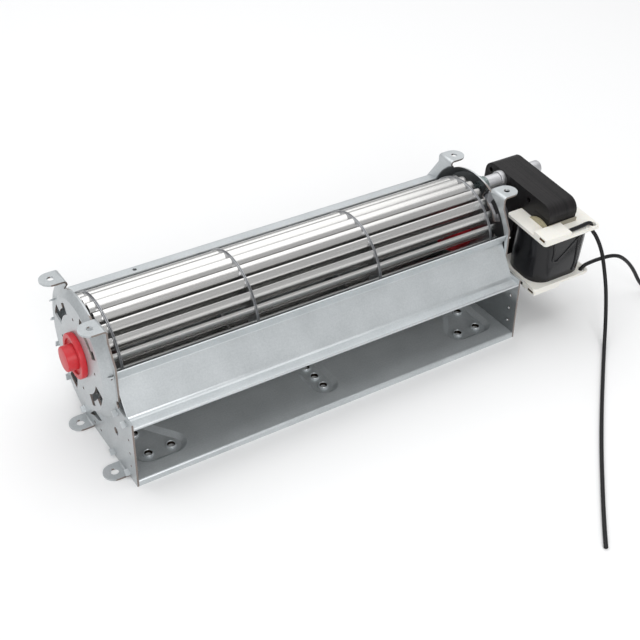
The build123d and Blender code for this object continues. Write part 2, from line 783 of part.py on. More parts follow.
# Die-cast bearing brackets on both faces of the stack.
post_start = side_x(1, dish_depth + washer_t + nut_t)
front_hub_start = stack_start - front_hub_length
with BuildPart() as front_bracket:
    with BuildSketch(motor_plane(stack_start - bracket_t)):
        Rectangle(bracket_width, post_spacing)
        Circle(bracket_boss_r)
        with Locations(*post_places()):
            Circle(bracket_width / 2)
    extrude(amount=bracket_t)
    with BuildSketch(motor_plane(post_start)):
        with Locations(*post_places()):
            Circle(post_r)
    extrude(amount=stack_start - post_start)
    with BuildSketch(motor_plane(front_hub_start)):
        Circle(bearing_hub_r)
    extrude(amount=stack_start - front_hub_start)
    with BuildSketch(motor_plane(post_start)):
        with Locations(*post_places()):
            Circle(screw_r + screw_post_slack)
        Circle(bush_r + press_gap)
    extrude(amount=stack_start - post_start, mode=Mode.SUBTRACT)
front_bracket.part.label = "front_bracket"
export_step(front_bracket.part, "parts/front_bracket.step")

with BuildPart() as rear_bracket:
    with BuildSketch(motor_plane(stack_end)):
        Rectangle(bracket_width, post_spacing)
        Circle(bracket_boss_r)
        with Locations(*post_places()):
            Circle(post_r)
    extrude(amount=bracket_t)
    with BuildSketch(motor_plane(stack_end)):
        with Locations(*post_places()):
            Circle(post_r)
    extrude(amount=rear_post_length)
    rounds = rear_bracket.edges().filter_by(GeomType.CIRCLE).group_by(Axis.X)[-1]
    fillet(rounds, rear_post_edge_r)
    with BuildSketch(motor_plane(stack_end)):
        Circle(bearing_hub_r)
    extrude(amount=rear_hub_length)
    with BuildSketch(motor_plane(stack_end)):
        Circle(bush_r + press_gap)
    extrude(amount=rear_hub_length - rear_hub_floor, mode=Mode.SUBTRACT)
    with BuildSketch(motor_plane(stack_end)):
        with Locations(*post_places()):
            Circle(screw_r + screw_post_slack)
    extrude(amount=rear_post_length - rear_post_floor, mode=Mode.SUBTRACT)
rear_bracket.part.label = "rear_bracket"
export_step(rear_bracket.part, "parts/rear_bracket.step")

with BuildPart() as front_bearing:
    front = (stack_start - bush_length, stack_start - bearing_inset)
    revolve(ring_section(*front, shaft_r + running_gap, bush_r), axis=impeller_axis)
front_bearing.part.label = "front_bearing"
export_step(front_bearing.part, "parts/front_bearing.step")

with BuildPart() as rear_bearing:
    rear = (stack_end + bearing_inset, rear_hub_end - rear_hub_floor - bearing_inset)
    revolve(ring_section(*rear, shaft_r + running_gap, bush_r), axis=impeller_axis)
rear_bearing.part.label = "rear_bearing"
export_step(rear_bearing.part, "parts/rear_bearing.step")

# Screws from inside the motor end plate, with a washer and a nut outside it.
screw_head_x = side_x(1, dish_depth - plate_t)
screw_tip_x = stack_end + rear_post_length - rear_post_floor - screw_tip_gap
with BuildPart() as motor_screws:
    with BuildSketch(motor_plane(screw_head_x - screw_head_t)):
        with Locations(*post_places()):
            Circle(screw_head_r)
    extrude(amount=screw_head_t)
    with BuildSketch(motor_plane(screw_head_x)):
        with Locations(*post_places()):
            Circle(screw_r)
    extrude(amount=screw_tip_x - screw_head_x)
motor_screws.part.label = "motor_screws"
export_step(motor_screws.part, "parts/motor_screws.step")

with BuildPart() as screw_washers:
    with BuildSketch(motor_plane(side_x(1, dish_depth))):
        with Locations(*post_places()):
            Circle(washer_r)
            Circle(screw_r + washer_slack, mode=Mode.SUBTRACT)
    extrude(amount=washer_t)
screw_washers.part.label = "screw_washers"
export_step(screw_washers.part, "parts/screw_washers.step")

with BuildPart() as screw_nuts:
    with BuildSketch(motor_plane(side_x(1, dish_depth + washer_t))):
        with Locations(*post_places()):
            RegularPolygon(nut_width / 2, 6, major_radius=False)
            Circle(screw_r + screw_nut_slack, mode=Mode.SUBTRACT)
    extrude(amount=nut_t)
screw_nuts.part.label = "screw_nuts"
export_step(screw_nuts.part, "parts/screw_nuts.step")

# Coil former round the leg, its winding and its two terminals.
flange_top = window_half - former_gap
flange_under = flange_top - former_t
former_x0 = stack_middle - former_length / 2
former_x1 = stack_middle + former_length / 2
former_middle = -(former_front + former_back) / 2
leg_middle = -stack_front + leg_width / 2
spool_x = stack_t + 2 * (former_wall + spool_gap)
spool_y = leg_width + 2 * (former_wall + spool_gap)
block_end = former_x0 + block_length
block_middle = former_x0 + block_length / 2
lead_hole = (former_x1 - lead_hole_side, -(former_front - lead_hole_front))

with BuildPart() as coil_former:
    for level in (1, -1):
        with BuildSketch(coil_plane(level * flange_under)):
            with Locations((stack_middle, former_middle)):
                RectangleRounded(former_length, former_front - former_back, former_corner_r)
            with Locations(lead_hole):
                Circle(lead_hole_r, mode=Mode.SUBTRACT)
        extrude(amount=level * former_t)
        with BuildSketch(coil_plane(level * flange_top)):
            with Locations((block_middle, -former_front + block_depth / 2)):
                Rectangle(block_length, block_depth)
        extrude(amount=level * block_height)
        with BuildSketch(coil_plane(level * (flange_top + slot_floor))):
            with Locations((block_middle - slot_end_wall, -former_front + terminal_inset)):
                Rectangle(block_length, terminal_width + 2 * terminal_slack)
        extrude(amount=level * slot_depth, mode=Mode.SUBTRACT)
        with BuildSketch(motor_plane(stack_start - spool_gap - cheek_t)):
            with Locations((leg_middle, level * (flange_top + cheek_height - cheek_r))):
                Circle(cheek_r)
            with Locations((leg_middle, level * (flange_top - former_t / 2 + cheek_r))):
                Rectangle(2 * cheek_r, 2 * cheek_r, mode=Mode.INTERSECT)
        extrude(amount=cheek_t)
    with BuildSketch(coil_plane(-flange_top)):
        with Locations((stack_middle, leg_middle)):
            Rectangle(spool_x, spool_y)
    extrude(amount=2 * flange_top)
    with BuildSketch(coil_plane(-window_half)):
        with Locations((stack_middle, leg_middle)):
            Rectangle(stack_t + 2 * spool_gap, leg_width + 2 * spool_gap)
    extrude(amount=2 * window_half, mode=Mode.SUBTRACT)
coil_former.part.label = "coil_former"
export_step(coil_former.part, "parts/coil_former.step")

with BuildPart() as coil_winding:
    with BuildSketch(coil_plane(-flange_under)):
        with Locations((stack_middle, leg_middle)):
            RectangleRounded(2 * winding_half_x, 2 * winding_half_y, winding_corner_r)
            Rectangle(spool_x + spool_gap, spool_y + spool_gap, mode=Mode.SUBTRACT)
    extrude(amount=2 * flange_under)
coil_winding.part.label = "coil_winding"
export_step(coil_winding.part, "parts/coil_winding.step")

with BuildPart() as terminals:
    for level in (1, -1):
        with BuildSketch(coil_plane(level * (flange_top + slot_floor))):
            with Locations((block_middle - slot_end_wall, -former_front + terminal_inset)):
                Rectangle(block_length - 2 * slot_end_wall, terminal_width)
        extrude(amount=level * terminal_t)
terminals.part.label = "terminals"
export_step(terminals.part, "parts/terminals.step")


def lead_path(points):
    """Straight runs joined by arcs as large as the two runs allow."""
    vectors = [Vector(*p) for p in points]
    radii = []
    for before, corner, after in zip(vectors, vectors[1:], vectors[2:]):
        turn = (corner - before).get_angle(after - corner)
        shorter = min((corner - before).length, (after - corner).length)
        radii.append(0.45 * shorter / math.tan(math.radians(turn / 2)))
    print("corner radii", [round(r, 1) for r in radii])
    return FilletPolyline(*points, radius=radii)


def lead(points, name):
    """Round lead along a route, as a closed tube with flat ends."""
    with BuildPart() as tube:
        with BuildLine() as route:
            path = lead_path(points)
        with BuildSketch(Plane(origin=path @ 0, z_dir=path % 0)) as end:
            Circle(lead_r)
        sweep(end.sketch, path=route.wires()[0])
    length = route.wires()[0].length
    print(name, "length", round(length, 1), "mm")
    tube.part.label = name
    export_step(tube.part, f"parts/{name}.step")


lead_level = flange_top + lead_r + lead_gap
lead_a_route = [
    motor_point(block_end, lead_reach, lead_level),
    motor_point(block_end + lead_straight, lead_reach, lead_level),
    motor_point(lead_hole[0] - lead_r, lead_reach - lead_gap, lead_level + lead_over),
    motor_point(lead_hole[0] + lead_a_sway[0], lead_a_sway[1] - lead_hole[1], flange_under - lead_through),
    (170.6, -42.0, 57.0),
    (173.7, -45.5, 47.8),
    (174.1, -49.5, 37.5),
    (172.4, -55.5, 26.0),
    (167.5, -63.5, 12.4),
    (160.7, -72.0, lead_r),
    (139.6, -93.4, lead_r),
    (118.0, -115.6, lead_r),
    (96.4, -138.6, lead_r),
    (76.0, -161.4, lead_r),
    (60.2, -179.4, lead_r),
    (50.6, -190.9, lead_r),
]
lead(lead_a_route, "lead_a")

lead_b_route = [
    motor_point(block_end, lead_reach, -lead_level),
    motor_point(block_end + lead_straight, lead_reach, -lead_level),
    motor_point(lead_hole[0] - lead_r, lead_reach - lead_gap, -lead_level - lead_over),
    motor_point(lead_hole[0] + lead_b_sway[0], lead_b_sway[1] - lead_hole[1], lead_through - flange_under),
    (176.0, -38.5, 35.4),
    (180.2, -40.0, 36.6),
    (188.2, -41.5, 37.1),
    (195.8, -42.5, 34.0),
    (206.1, -43.0, 23.4),
    (215.6, -43.5, 7.5),
    (224.0, -44.6, lead_r),
    (233.0, -46.5, lead_r),
]
lead(lead_b_route, "lead_b")

# The rest of the second lead, wound into a flat coil of two turns on the surface.
lead_b_end = lead_b_route[-1]
coil_y = lead_b_end[1] - lead_r - coil_gap - coil_outer_r
coil_centre = (lead_b_end[0] + coil_offset, coil_y)
with BuildPart() as lead_b_coil:
    with BuildSketch(Plane.XZ.offset(-coil_centre[1])):
        with Locations((coil_centre[0] + coil_outer_r - coil_turns * lead_r, lead_r)):
            SlotOverall(2 * coil_turns * lead_r, 2 * lead_r)
    revolve(axis=Axis((coil_centre[0], coil_centre[1], 0), (0, 0, 1)))
lead_b_coil.part.label = "lead_b_coil"
export_step(lead_b_coil.part, "parts/lead_b_coil.step")
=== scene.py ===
# %% [markdown]
# # A cross flow fan
# The fan is a long drum of curved aluminium blades between two pressed steel end plates.
# A rolled scroll sheet wraps its back, a folded tongue sheet stands before it, and a small
# shaded pole motor hangs on the right end plate. The CAD model brings every rigid piece in
# as a fixed frame, so this script gives them their finishes and adds what CAD leaves plain.

# %% Load the frame
import json
import math

import bmesh
import bpy
from mathutils import Matrix, Vector


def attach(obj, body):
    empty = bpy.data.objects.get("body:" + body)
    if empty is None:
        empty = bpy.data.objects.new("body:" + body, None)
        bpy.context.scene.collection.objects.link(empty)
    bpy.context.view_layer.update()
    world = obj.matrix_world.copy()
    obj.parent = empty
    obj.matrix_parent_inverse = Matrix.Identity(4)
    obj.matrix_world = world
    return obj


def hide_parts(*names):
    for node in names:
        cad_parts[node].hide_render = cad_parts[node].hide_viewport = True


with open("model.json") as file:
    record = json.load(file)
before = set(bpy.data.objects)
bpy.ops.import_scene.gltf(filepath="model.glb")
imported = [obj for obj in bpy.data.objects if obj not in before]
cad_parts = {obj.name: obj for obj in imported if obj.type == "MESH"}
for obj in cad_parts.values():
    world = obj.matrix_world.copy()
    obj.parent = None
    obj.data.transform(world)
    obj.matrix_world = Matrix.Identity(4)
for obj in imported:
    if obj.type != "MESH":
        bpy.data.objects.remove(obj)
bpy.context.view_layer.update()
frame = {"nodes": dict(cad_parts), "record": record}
nodes = frame["nodes"]
MM = 0.001

# %% [markdown]
# ## The camera
# The photograph looks down at the outlet from the bearing end, through a lens of about
# 67 mm on a full frame. A camera is easiest to place by its turn from straight ahead, its
# dip below the horizon and its small roll, multiplied in that order.

# %% Set the camera
camera_place = (-0.2790, -0.4488, 0.42065)
camera_lens = bpy.data.cameras.new("photo_camera")
camera_lens.lens = 67.1
camera_lens.sensor_width = 36.0
camera_lens.clip_start = 0.01
camera = bpy.data.objects.new("photo_camera", camera_lens)
camera_turn = Matrix.Rotation(math.radians(-32.75), 4, "Z")
camera_dip = Matrix.Rotation(math.radians(90 - 36.15), 4, "X")
camera_roll = Matrix.Rotation(math.radians(1.0), 4, "Z")
camera.matrix_world = Matrix.Translation(camera_place) @ camera_turn @ camera_dip @ camera_roll
bpy.context.scene.collection.objects.link(camera)
bpy.context.scene.camera = camera
print("camera at", tuple(round(v, 3) for v in camera.location))

# %% [markdown]
# ## Two motor leads
# Each lead is a soft stranded wire in a black sleeve, 2.3 mm across. A NURBS curve suits
# it, because the line stays smooth however few control points it has. The motor is tilted
# a little about the impeller's axis, so places on it go through one small function.

# %% Draw a cord
axis_y = 13.5
axis_z = 51.8
motor_tilt = math.radians(5.5)
lead_radius = 1.15


def motor_point(x, forward, height):
    """World point in mm of a place in the motor's tilted frame."""
    y = axis_y - forward * math.cos(motor_tilt) - height * math.sin(motor_tilt)
    z = axis_z - forward * math.sin(motor_tilt) + height * math.cos(motor_tilt)
    return (x, y, z)


def draw_cord(name, route, radius):
    """A round cord along a smooth NURBS line through the route's control points, in mm."""
    curve = bpy.data.curves.new(name, "CURVE")
    curve.dimensions = "3D"
    curve.resolution_u = 6
    curve.bevel_depth = 1.0
    curve.bevel_resolution = 3
    curve.use_fill_caps = True
    line = curve.splines.new("NURBS")
    line.points.add(len(route) - 1)
    for point, place in zip(line.points, route):
        point.co = (*(Vector(place) * MM), 1.0)
        point.radius = radius * MM
    line.order_u = 3
    line.use_endpoint_u = True
    piece = bpy.data.objects.new(name, curve)
    bpy.context.scene.collection.objects.link(piece)
    return piece


print("axis at", (axis_y, axis_z), "mm")

# %% [markdown]
# Both leads leave their terminal blocks level, run along the flange and dive through a
# hole in it. The first hangs down and lies straight on the floor. The second arches over
# and ends in a small curl on the floor: its radius shrinks quickly at first and then by a
# little at each step, so that the turns lie side by side.

# %% Route the leads
block_end = 149.8
lead_forward = 51.8
lead_level = 18.4
hole_x = 168.4
lead_a_route = [
    motor_point(block_end, lead_forward, lead_level),
    motor_point(block_end + 8.2, lead_forward, lead_level),
    motor_point(hole_x - 1.15, lead_forward - 0.05, lead_level + 1.3),
    motor_point(hole_x + 0.25, 52.6, 13.0),
    (170.6, -42.0, 57.0),
    (173.7, -45.5, 47.8),
    (174.1, -49.5, 37.5),
    (172.4, -55.5, 26.0),
    (167.5, -63.5, 12.4),
    (160.7, -72.0, lead_radius),
    (139.6, -93.4, lead_radius),
    (118.0, -115.6, lead_radius),
    (96.4, -138.6, lead_radius),
    (76.0, -161.4, lead_radius),
    (60.2, -179.4, lead_radius),
    (50.6, -190.9, lead_radius),
]
lead_b_route = [
    motor_point(block_end, lead_forward, -lead_level),
    motor_point(block_end + 8.2, lead_forward, -lead_level),
    motor_point(hole_x - 1.15, lead_forward - 0.05, -lead_level - 1.3),
    motor_point(hole_x + 0.25, 52.4, -13.0),
    (176.0, -38.5, 35.4),
    (180.2, -40.0, 36.6),
    (188.2, -41.5, 37.1),
    (195.8, -42.5, 34.0),
    (206.1, -43.0, 23.4),
    (215.6, -43.5, 7.5),
    (224.0, -44.6, lead_radius),
    (233.0, -46.5, lead_radius),
]
curl_x, curl_y = 235.5, -61.0
for step in range(1, 25):
    angle = math.radians(90 - 30 * step)
    curl_r = max(14.5 - 0.9 * step, 12.2 - 0.11 * step)
    place = (curl_x + curl_r * math.cos(angle), curl_y + curl_r * math.sin(angle), lead_radius)
    lead_b_route.append(place)
lead_a = draw_cord("lead_a_sleeve", lead_a_route, lead_radius)
lead_b = draw_cord("lead_b_sleeve", lead_b_route, lead_radius)
for lead, stand_ins, route, length in (
    (lead_a, ["lead_a"], lead_a_route, 0.2525),
    (lead_b, ["lead_b", "lead_b_coil"], lead_b_route, 0.236),
):
    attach(lead, "housing")
    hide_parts(*stand_ins)
    print(lead.name, "has", len(route), "control points")

# %% [markdown]
# ## Helpers for finishes
# Colours are written as sRGB hex, the way a paint chart gives them, and turned to the
# linear values that shaders need. One function adds a node with its settings and links,
# and a few short ones use it for the nodes that come again and again.

# %% Node helpers
def srgb(code):
    """Linear colour of an sRGB hex code."""
    channels = [int(code[i:i + 2], 16) / 255 for i in (1, 3, 5)]
    linear = [c / 12.92 if c <= 0.04045 else ((c + 0.055) / 1.055) ** 2.4 for c in channels]
    return (*linear, 1.0)


def add_node(finish, kind, settings=None, links=None):
    """A new node in a material. Settings name a property or an input, links feed an input."""
    node = finish.node_tree.nodes.new(kind)
    for key, value in (settings or {}).items():
        if isinstance(key, str) and hasattr(node, key):
            setattr(node, key, value)
        else:
            node.inputs[key].default_value = value
    for key, (source, output) in (links or {}).items():
        finish.node_tree.links.new(source.outputs[output], node.inputs[key])
    return node


def add_noise(finish, where, scale, detail):
    """Noise at a place, with about that many patches in a metre."""
    settings = {"Scale": scale, "Detail": detail}
    return add_node(finish, "ShaderNodeTexNoise", settings, {"Vector": where})


def add_stretch(finish, place, scale):
    """The object's places in metres, multiplied by a scale along each axis."""
    return add_node(finish, "ShaderNodeMapping", {"Scale": scale}, {"Vector": (place, "Object")})


def add_range(finish, source, start=0.0, end=1.0, to_start=0.0, to_end=1.0):
    """Values from start to end turned into values from to_start to to_end."""
    settings = {"From Min": start, "From Max": end, "To Min": to_start, "To Max": to_end}
    return add_node(finish, "ShaderNodeMapRange", settings, {"Value": source})


def add_maths(finish, operation, *values):
    """One sum. Each value is a number or another node's output."""
    numbers = {i: value for i, value in enumerate(values) if not isinstance(value, tuple)}
    outputs = {i: value for i, value in enumerate(values) if isinstance(value, tuple)}
    return add_node(finish, "ShaderNodeMath", {"operation": operation, **numbers}, outputs)


def mix_tones(finish, first, second, mask):
    """A tone between two by a mask. Each tone is a hex code or the Mix node that makes it."""
    tones = {6: first, 7: second}
    codes = {key: srgb(tone) for key, tone in tones.items() if isinstance(tone, str)}
    mixes = {key: (tone, 2) for key, tone in tones.items() if not isinstance(tone, str)}
    links = {"Factor": mask, **mixes}
    return add_node(finish, "ShaderNodeMix", {"data_type": "RGBA", **codes}, links)


def speckle(finish, tone, noise, amount):
    """A tone made lighter and darker by noise, softly."""
    settings = {"data_type": "RGBA", "blend_type": "SOFT_LIGHT", "Factor": amount}
    return add_node(finish, "ShaderNodeMix", settings, {6: (tone, 2), 7: (noise, "Fac")})


def shader_of(finish):
    """The shader that every new material has."""
    return finish.node_tree.nodes["Principled BSDF"]


def start_finish(name, metallic=0.0):
    """A new material, with its share of metal set."""
    finish = bpy.data.materials.new(name)
    finish.use_nodes = True
    shader_of(finish).inputs["Metallic"].default_value = metallic
    return finish


def join(finish, source, output, target, socket):
    """Link one output to one input."""
    finish.node_tree.links.new(source.outputs[output], target.inputs[socket])


def feed_shader(finish, tone, gloss, relief):
    """Feed the tone, the roughness from noise and two ends, and the bump from noise,
    strength and depth in metres."""
    shader = shader_of(finish)
    join(finish, tone, 2, shader, "Base Color")
    noise, smooth_end, rough_end = gloss
    roughness = add_range(finish, (noise, "Fac"), to_start=smooth_end, to_end=rough_end)
    join(finish, roughness, "Result", shader, "Roughness")
    noise, strength, depth = relief
    settings = {"Strength": strength, "Distance": depth}
    bump = add_node(finish, "ShaderNodeBump", settings, {"Height": (noise, "Fac")})
    join(finish, bump, "Normal", shader, "Normal")


print("node helpers ready")

# %% [markdown]
# ## Masks for the end plates
# The end plates were punched after coating, so their cut edges are bare and brownish. A
# cut edge is told by its normal, which lies in the plate: neither along X as the faces do,
# nor straight up as the bent tabs do. The motor's plate gets painted shade inside its deep
# dish and inside the outlet, where little light reaches. There the mask is the distance
# from the axis or the height. The inner side is told by a normal that looks towards the
# axis or against X.

# %% Plate masks
def cut_edge_mask(finish, place):
    """Where a punched plate shows its cut edge."""
    normal = add_node(finish, "ShaderNodeSeparateXYZ", {}, {"Vector": (place, "Normal")})
    along_x = add_maths(finish, "ABSOLUTE", (normal, "X"))
    along_z = add_maths(finish, "ABSOLUTE", (normal, "Z"))
    not_face = add_maths(finish, "LESS_THAN", (along_x, 0), 0.3)
    not_tab = add_maths(finish, "LESS_THAN", (along_z, 0), 0.93)
    cut = add_maths(finish, "MULTIPLY", (not_face, 0), (not_tab, 0))
    bare_share = 0.75
    return add_maths(finish, "MULTIPLY", (cut, 0), bare_share)


def vector_maths(finish, operation, source, vector=(0, 0, 0)):
    """One sum of another node's vector with a fixed one."""
    settings = {"operation": operation, 1: vector}
    return add_node(finish, "ShaderNodeVectorMath", settings, {0: source})


def painted_shade_mask(finish, place):
    """Where shade is painted on the motor's plate: its inner side, in the dish and in the
    outlet.
    """
    dish_rim, dish_inside = 35.2 * MM, 34.2 * MM
    outlet_top, outlet_inside = 31 * MM, 24 * MM
    axis = (0, axis_y * MM, axis_z * MM)
    centred = vector_maths(finish, "SUBTRACT", (place, "Object"), axis)
    to_axis = vector_maths(finish, "MULTIPLY", (centred, 0), (0, -1, -1))
    radius = vector_maths(finish, "LENGTH", (to_axis, 0))
    to_inside = vector_maths(finish, "ADD", (to_axis, 0), (-0.02, 0, 0))
    facing = vector_maths(finish, "DOT_PRODUCT", (place, "Normal"))
    join(finish, to_inside, 0, facing, 1)
    inner_side = add_maths(finish, "GREATER_THAN", (facing, "Value"), 0.0)
    height = add_node(finish, "ShaderNodeSeparateXYZ", {}, {"Vector": (place, "Object")})
    in_dish = add_range(finish, (radius, "Value"), dish_rim, dish_inside, to_end=0.85)
    in_outlet = add_range(finish, (height, "Z"), outlet_top, outlet_inside, to_end=0.6)
    either = add_maths(finish, "MAXIMUM", (in_dish, "Result"), (in_outlet, "Result"))
    return add_maths(finish, "MULTIPLY", (either, 0), (inner_side, 0))


print("masks ready")

# %% [markdown]
# ## Galvanised sheet steel
# The sheets are zinc-coated steel, rolled smooth before they were bent: a cool pale grey
# with soft clouds about 15 mm wide, a fine fleck of half a millimetre, which is drawn at
# 0.9 mm so that it shows, and faint streaks along X. The bearing's plate is drawn a little
# greyer than the other sheets, from the same zinc: painted shade on its outer face.

# %% Galvanised finish
def zinc_sheet(name, masks=(), tones=("#bbc0c2", "#d2d6d8")):
    """Galvanised sheet. Each mask is a function with the tone that it lays on."""
    finish = start_finish(name, metallic=0.5)
    place = add_node(finish, "ShaderNodeTexCoord")
    cloud = add_noise(finish, (place, "Object"), 1 / 0.015, 4.0)
    fleck = add_noise(finish, (place, "Object"), 1 / 0.0009, 2.0)
    rolled = add_stretch(finish, place, (12, 900, 900))
    streak = add_noise(finish, (rolled, "Vector"), 1.0, 3.0)
    tone = mix_tones(finish, *tones, (cloud, "Fac"))
    tone = speckle(finish, tone, fleck, 0.3)
    tone = speckle(finish, tone, streak, 0.08)
    for mask, laid_on in masks:
        tone = mix_tones(finish, tone, laid_on, (mask(finish, place), 0))
    feed_shader(finish, tone, (cloud, 0.3, 0.42), (fleck, 0.1, 0.00005))
    return finish


cut_edges = (cut_edge_mask, "#6b5547")
# painted shade: a dark grey laid on the motor plate's inner side in the dish and the outlet
inside_painted_shade = (painted_shade_mask, "#33383a")
galvanised = zinc_sheet("galvanised_sheet")
# painted shade: the bearing's plate takes darker tones of the same zinc
punched_plate_painted_shade = zinc_sheet("galvanised_punched_plate", [cut_edges], ("#a9aeb0", "#c4c8ca"))
motor_plate_painted_shade = zinc_sheet("galvanised_motor_plate_painted_shade", [cut_edges, inside_painted_shade])
print("made", galvanised.name, punched_plate_painted_shade.name, "and", motor_plate_painted_shade.name)

# %% [markdown]
# ## Bright aluminium blades
# The blades are rolled strip. Rolling leaves fine lines along the blade, so the noise is
# stretched along X: 2.5 mm across the lines, coarser than real ones so that they show,
# and 200 mm along them.

# %% Aluminium finish
blade_strip = start_finish("rolled_aluminium", metallic=1.0)
place = add_node(blade_strip, "ShaderNodeTexCoord")
along_blade = add_stretch(blade_strip, place, (1 / 0.2, 1 / 0.0025, 1 / 0.0025))
lines = add_noise(blade_strip, (along_blade, "Vector"), 1.0, 3.0)
tone = mix_tones(blade_strip, "#c3c2c0", "#e1e0de", (lines, "Fac"))
feed_shader(blade_strip, tone, (lines, 0.22, 0.3), (lines, 0.05, 0.00002))
print("made", blade_strip.name)

# %% [markdown]
# ## Small metal finishes
# The discs are grey zinc-plated steel, the shafts ground steel, the brackets die-cast
# zinc, the bushes oil-soaked bronze and the terminals brass. They share one recipe: a
# base tone, a second tone mixed in by noise of a real grain size, and a fine bump.

# %% Metal finishes
def grained_finish(name, dark, light, rough, grain_mm, bump, metallic=1.0):
    """A finish whose tone and gloss vary with a grain of that size."""
    finish = start_finish(name, metallic)
    place = add_node(finish, "ShaderNodeTexCoord")
    grain = add_noise(finish, (place, "Object"), 1000 / grain_mm, 4.0)
    tone = mix_tones(finish, dark, light, (grain, "Fac"))
    feed_shader(finish, tone, (grain, rough - 0.06, rough + 0.06), (grain, bump, 0.0001))
    return finish


disc_steel = grained_finish("plated_disc_steel", "#97989b", "#b0b1b3", 0.3, 1.5, 0.05)
ground_steel = grained_finish("ground_steel", "#b0b0b2", "#c9c9ca", 0.25, 0.5, 0.04)
die_cast_zinc = grained_finish("die_cast_zinc", "#b6b6b9", "#d2d2d4", 0.5, 0.8, 0.35)
zinc_plating = grained_finish("blue_zinc_plating", "#84918f", "#a9b5b5", 0.28, 1.0, 0.08)
sintered_bronze = grained_finish("sintered_bronze", "#86683f", "#a5824f", 0.45, 0.4, 0.3)
terminal_brass = grained_finish("terminal_brass", "#5d4630", "#7d5f40", 0.4, 1.0, 0.1)
rotor_steel = grained_finish("turned_rotor_steel", "#77777a", "#929295", 0.4, 0.5, 0.15)
# bare torn steel, drawn darker than bare steel as painted shade inside the collars' holes
torn_steel_painted_shade = grained_finish("torn_steel_painted_shade", "#2c2520", "#4a3d34", 0.6, 0.6, 0.2)
# painted highlight: a brighter zinc for the tips of the outlet's bumps
painted_highlight_zinc = grained_finish("painted_highlight_zinc", "#d6d9db", "#eceeef", 0.26, 0.6, 0.05)
print("made nine metal finishes")

# %% [markdown]
# ## Silicone, nylon, tape, sleeve and paper
# The soft and moulded pieces are dielectrics. Silicone lets a little light in under its
# surface, nylon is milky, the coil's tape is shiny film and the sleeve is satin.

# %% Moulded and soft finishes
def plain_finish(name, dark, light, rough, grain_mm, bump, ior=1.5):
    """A plastic or rubber whose tone and gloss vary with a grain of that size."""
    finish = grained_finish(name, dark, light, rough, grain_mm, bump, metallic=0.0)
    shader_of(finish).inputs["IOR"].default_value = ior
    return finish


def let_light_in(finish, weight, depths):
    """Some light enters the surface, to a depth in metres for red, green and blue."""
    shader_of(finish).inputs["Subsurface Weight"].default_value = weight
    shader_of(finish).inputs["Subsurface Radius"].default_value = depths


red_silicone = plain_finish("red_silicone", "#c4222c", "#d4303a", 0.4, 1.2, 0.08)
let_light_in(red_silicone, 0.12, (0.003, 0.0008, 0.0006))
coil_tape = plain_finish("black_coil_tape", "#101012", "#1a1a1d", 0.2, 8.0, 0.25, ior=1.42)
lead_sleeve = plain_finish("black_lead_sleeve", "#09090b", "#111114", 0.42, 0.4, 0.1, ior=1.38)
slot_paper = plain_finish("insulation_paper", "#8f8a7c", "#a59f90", 0.7, 0.6, 0.2)
former_nylon = plain_finish("former_nylon", "#e9e6de", "#f3f1ea", 0.42, 0.9, 0.1)
let_light_in(former_nylon, 0.1, (0.002, 0.0016, 0.001))
print("made five soft finishes")

# %% [markdown]
# The former's half-round cheek, which stands beside the stack, gets painted shade: a darker,
# yellowish grey for the stack's shadow on it. It is told by its place in the motor's frame:
# above the upper flange and behind the terminal block.

# %% Painted shade on the former's cheek
flange_top = 0.0174
block_back = -0.044
place = add_node(former_nylon, "ShaderNodeTexCoord")
motor_frame = {"Location": (0, axis_y * MM, axis_z * MM), "Rotation": (motor_tilt, 0, 0)}
in_motor = add_node(
    former_nylon,
    "ShaderNodeMapping",
    {"vector_type": "TEXTURE", **motor_frame},
    {"Vector": (place, "Object")},
)
spot = add_node(former_nylon, "ShaderNodeSeparateXYZ", {}, {"Vector": (in_motor, "Vector")})
behind_block = add_maths(former_nylon, "GREATER_THAN", (spot, "Y"), block_back)
above_flange = add_maths(former_nylon, "GREATER_THAN", (spot, "Z"), flange_top)
cheek = add_maths(former_nylon, "MULTIPLY", (behind_block, 0), (above_flange, 0))
shader = shader_of(former_nylon)
moulded = shader.inputs["Base Color"].links[0].from_node
# painted shade: the stack's shadow on the cheek, drawn as a darker, yellowish tone
painted_cheek_shade = mix_tones(former_nylon, moulded, "#a8a083", (cheek, 0))
join(former_nylon, painted_cheek_shade, 2, shader, "Base Color")
print("toned the cheek of", former_nylon.name)

# %% [markdown]
# ## Black laminations
# The stack is punched sheets half a millimetre thick, dipped in black lacquer. A noise
# that changes quickly along X and slowly across it gives each sheet its own shade, so
# the edges of the sheets show as fine lines. A second noise makes the gloss patchy.

# %% Lamination finish
lacquer = start_finish("lacquered_laminations")
shader_of(lacquer).inputs["IOR"].default_value = 1.4
place = add_node(lacquer, "ShaderNodeTexCoord")
across_sheets = add_stretch(lacquer, place, (1 / 0.0009, 1 / 0.05, 1 / 0.05))
sheets = add_noise(lacquer, (across_sheets, "Vector"), 1.0, 2.0)
patches = add_noise(lacquer, (place, "Object"), 500.0, 4.0)
contrast = add_range(lacquer, (sheets, "Fac"), 0.35, 0.65)
tone = mix_tones(lacquer, "#0d0c0d", "#1f1c1d", (contrast, "Result"))
feed_shader(lacquer, tone, (patches, 0.3, 0.5), (sheets, 0.25, 0.0001))
print("made", lacquer.name)

# %% [markdown]
# ## Dress the CAD nodes
# A CAD node keeps its shape. Linking the finish to the object's slot leaves its mesh as
# it came from the frame. Real sheet and moulded edges are never knife sharp, so the big
# nodes also get a Weld and a Bevel modifier, which round every sharp edge a little.

